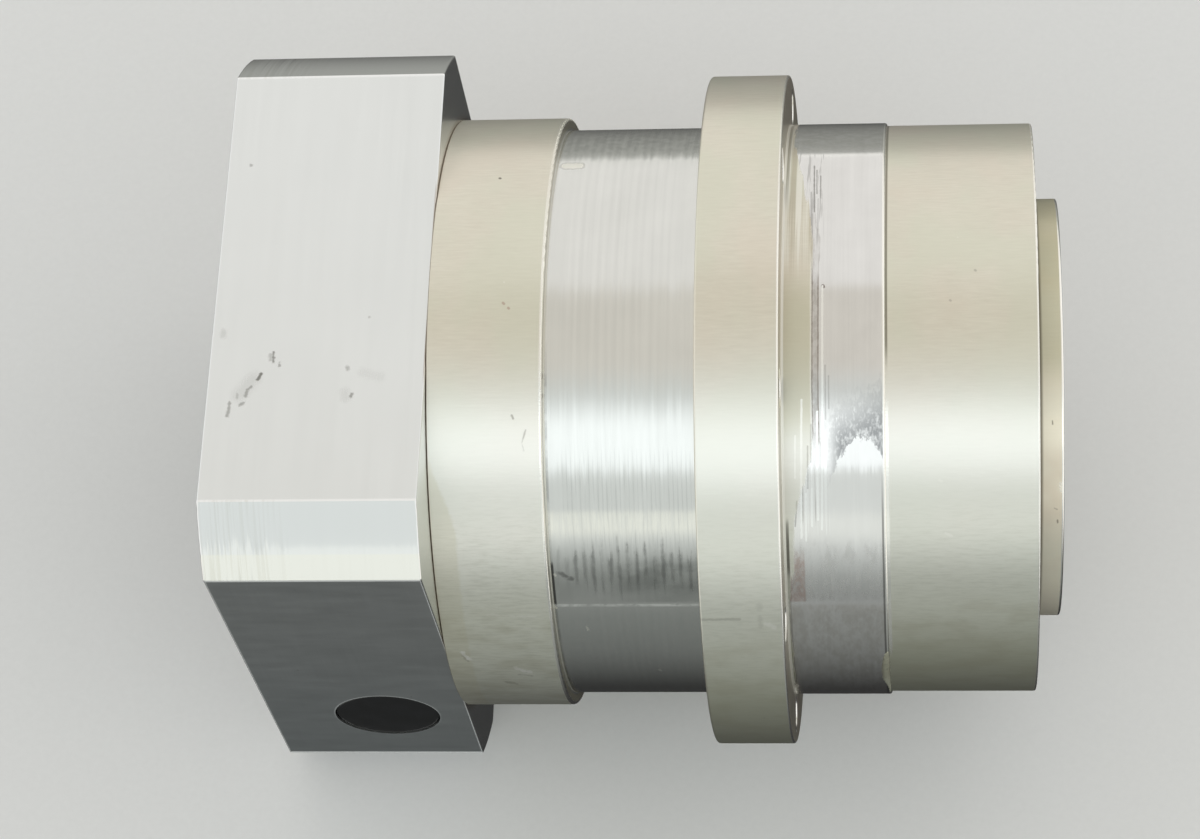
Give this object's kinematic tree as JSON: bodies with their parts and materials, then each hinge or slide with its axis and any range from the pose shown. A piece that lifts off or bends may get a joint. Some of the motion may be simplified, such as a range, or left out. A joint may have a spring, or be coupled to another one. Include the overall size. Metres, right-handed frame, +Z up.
{
  "type": "planetary gearhead",
  "caption": "In-line planetary gearhead: square motor adapter plate with a plugged access hole, round stepped housing with a centring flange, and a rotating output disc.",
  "frame": {"origin": "on the gear axis, at the front face of the housing flange", "axes": "+X along the gear axis towards the output disc, +Z up as the part lies in the picture, the plugged access hole on the -Y side"},
  "size_m": [0.1535, 0.129, 0.129],
  "materials": {
    "machined_aluminium": "fine machined",
    "champagne_paint": "satin",
    "output_coat": "satin",
    "turned_steel": "turned",
    "hardened_steel": "ground",
    "cage_steel": "pressed",
    "dark_screw_steel": "black oxide",
    "bronze": "satin",
    "seal_rubber": "matte",
    "black_plastic": "satin"
  },
  "bodies": {
    "housing": {"adapter_plate": "machined_aluminium", "input_housing": "champagne_paint", "ring_gear": "turned_steel", "output_housing": "champagne_paint", "front_o_ring": "seal_rubber", "rear_o_ring": "seal_rubber", "output_shaft_seal": "seal_rubber", "output_seal_spring": "cage_steel", "input_shaft_seal": "seal_rubber", "input_seal_spring": "cage_steel", "front_bearing_cup": "hardened_steel", "rear_bearing_cup": "hardened_steel", "input_bearing_outer_ring": "hardened_steel", "bearing_circlip": "dark_screw_steel", "body_screws": "dark_screw_steel", "adapter_screws": "dark_screw_steel"},
    "output": {"output_flange": "output_coat", "carrier_rear_plate": "hardened_steel", "carrier_spacers": "hardened_steel", "carrier_screws": "dark_screw_steel", "stage2_planet_pins": "hardened_steel", "stage2_thrust_washers": "bronze", "front_bearing_cone": "hardened_steel", "rear_bearing_cone": "hardened_steel", "bearing_lock_nut": "dark_screw_steel"},
    "front_cage": {"front_bearing_rollers": "hardened_steel", "front_bearing_cage": "cage_steel"},
    "rear_cage": {"rear_bearing_rollers": "hardened_steel", "rear_bearing_cage": "cage_steel"},
    "stage1_carrier": {"stage1_carrier": "hardened_steel", "stage2_sun_gear": "hardened_steel", "stage1_planet_pins": "hardened_steel", "stage1_carrier_ring": "hardened_steel", "stage1_thrust_washers": "bronze"},
    "input": {"input_shaft": "hardened_steel", "clamp_ring": "machined_aluminium", "motor_shaft_bushing": "machined_aluminium", "input_bearing_inner_ring": "hardened_steel", "shaft_circlip": "dark_screw_steel"},
    "input_cage": {"input_bearing_balls": "hardened_steel", "input_bearing_cage": "bronze"},
    "clamp_screw": {"clamp_screw": "dark_screw_steel"},
    "access_plug": {"access_plug": "black_plastic"},
    "stage1_planet_1": {"stage1_planet_gear_1": "hardened_steel"},
    "stage1_needles_1": {"stage1_needle_rollers_1": "hardened_steel"},
    "stage1_planet_2": {"stage1_planet_gear_2": "hardened_steel"},
    "stage1_needles_2": {"stage1_needle_rollers_2": "hardened_steel"},
    "stage1_planet_3": {"stage1_planet_gear_3": "hardened_steel"},
    "stage1_needles_3": {"stage1_needle_rollers_3": "hardened_steel"},
    "stage2_planet_1": {"stage2_planet_gear_1": "hardened_steel"},
    "stage2_needles_1": {"stage2_needle_rollers_1": "hardened_steel"},
    "stage2_planet_2": {"stage2_planet_gear_2": "hardened_steel"},
    "stage2_needles_2": {"stage2_needle_rollers_2": "hardened_steel"},
    "stage2_planet_3": {"stage2_planet_gear_3": "hardened_steel"},
    "stage2_needles_3": {"stage2_needle_rollers_3": "hardened_steel"}
  },
  "joints": [
    {"name": "output_spin", "type": "hinge", "parent": "housing", "child": "output", "pos_m": [0, 0, 0], "axis": [1, 0, 0], "continuous": true},
    {"name": "front_cage_spin", "type": "hinge", "parent": "housing", "child": "front_cage", "pos_m": [0, 0, 0], "axis": [1, 0, 0], "continuous": true},
    {"name": "rear_cage_spin", "type": "hinge", "parent": "housing", "child": "rear_cage", "pos_m": [0, 0, 0], "axis": [1, 0, 0], "continuous": true},
    {"name": "stage1_carrier_spin", "type": "hinge", "parent": "housing", "child": "stage1_carrier", "pos_m": [0, 0, 0], "axis": [1, 0, 0], "continuous": true},
    {"name": "input_spin", "type": "hinge", "parent": "housing", "child": "input", "pos_m": [0, 0, 0], "axis": [1, 0, 0], "continuous": true},
    {"name": "input_cage_spin", "type": "hinge", "parent": "housing", "child": "input_cage", "pos_m": [0, 0, 0], "axis": [1, 0, 0], "continuous": true},
    {"name": "stage1_planet_1_spin", "type": "hinge", "parent": "stage1_carrier", "child": "stage1_planet_1", "pos_m": [0, 0, 0.0225], "axis": [1, 0, 0], "continuous": true},
    {"name": "stage1_needles_1_spin", "type": "hinge", "parent": "stage1_carrier", "child": "stage1_needles_1", "pos_m": [0, 0, 0.0225], "axis": [1, 0, 0], "continuous": true},
    {"name": "stage1_planet_2_spin", "type": "hinge", "parent": "stage1_carrier", "child": "stage1_planet_2", "pos_m": [0, -0.01949, -0.01125], "axis": [1, 0, 0], "continuous": true},
    {"name": "stage1_needles_2_spin", "type": "hinge", "parent": "stage1_carrier", "child": "stage1_needles_2", "pos_m": [0, -0.01949, -0.01125], "axis": [1, 0, 0], "continuous": true},
    {"name": "stage1_planet_3_spin", "type": "hinge", "parent": "stage1_carrier", "child": "stage1_planet_3", "pos_m": [0, 0.01949, -0.01125], "axis": [1, 0, 0], "continuous": true},
    {"name": "stage1_needles_3_spin", "type": "hinge", "parent": "stage1_carrier", "child": "stage1_needles_3", "pos_m": [0, 0.01949, -0.01125], "axis": [1, 0, 0], "continuous": true},
    {"name": "stage2_planet_1_spin", "type": "hinge", "parent": "output", "child": "stage2_planet_1", "pos_m": [0, 0, 0.0225], "axis": [1, 0, 0], "continuous": true},
    {"name": "stage2_needles_1_spin", "type": "hinge", "parent": "output", "child": "stage2_needles_1", "pos_m": [0, 0, 0.0225], "axis": [1, 0, 0], "continuous": true},
    {"name": "stage2_planet_2_spin", "type": "hinge", "parent": "output", "child": "stage2_planet_2", "pos_m": [0, -0.01949, -0.01125], "axis": [1, 0, 0], "continuous": true},
    {"name": "stage2_needles_2_spin", "type": "hinge", "parent": "output", "child": "stage2_needles_2", "pos_m": [0, -0.01949, -0.01125], "axis": [1, 0, 0], "continuous": true},
    {"name": "stage2_planet_3_spin", "type": "hinge", "parent": "output", "child": "stage2_planet_3", "pos_m": [0, 0.01949, -0.01125], "axis": [1, 0, 0], "continuous": true},
    {"name": "stage2_needles_3_spin", "type": "hinge", "parent": "output", "child": "stage2_needles_3", "pos_m": [0, 0.01949, -0.01125], "axis": [1, 0, 0], "continuous": true},
    {"name": "clamp_screw_turn", "type": "hinge", "parent": "input", "child": "clamp_screw", "pos_m": [-0.0798, -0.012, -0.023], "axis": [0, -1, 0], "range_deg": [0, 90]},
    {"name": "access_plug_pull", "type": "slide", "parent": "housing", "child": "access_plug", "axis": [0, -1, 0], "range_m": [0, 0.02]}
  ],
  "couplings": [
    {"joint": "front_cage_spin", "follows": "output_spin", "ratio": 0.45367},
    {"joint": "rear_cage_spin", "follows": "output_spin", "ratio": 0.45367},
    {"joint": "stage1_carrier_spin", "follows": "output_spin", "ratio": 5},
    {"joint": "input_spin", "follows": "output_spin", "ratio": 25},
    {"joint": "input_cage_spin", "follows": "output_spin", "ratio": 10.833},
    {"joint": "stage1_planet_1_spin", "follows": "output_spin", "ratio": -13.333},
    {"joint": "stage1_needles_1_spin", "follows": "output_spin", "ratio": -8},
    {"joint": "stage1_planet_2_spin", "follows": "output_spin", "ratio": -13.333},
    {"joint": "stage1_needles_2_spin", "follows": "output_spin", "ratio": -8},
    {"joint": "stage1_planet_3_spin", "follows": "output_spin", "ratio": -13.333},
    {"joint": "stage1_needles_3_spin", "follows": "output_spin", "ratio": -8},
    {"joint": "stage2_planet_1_spin", "follows": "output_spin", "ratio": -2.6667},
    {"joint": "stage2_needles_1_spin", "follows": "output_spin", "ratio": -1.6},
    {"joint": "stage2_planet_2_spin", "follows": "output_spin", "ratio": -2.6667},
    {"joint": "stage2_needles_2_spin", "follows": "output_spin", "ratio": -1.6},
    {"joint": "stage2_planet_3_spin", "follows": "output_spin", "ratio": -2.6667},
    {"joint": "stage2_needles_3_spin", "follows": "output_spin", "ratio": -1.6}
  ]
}
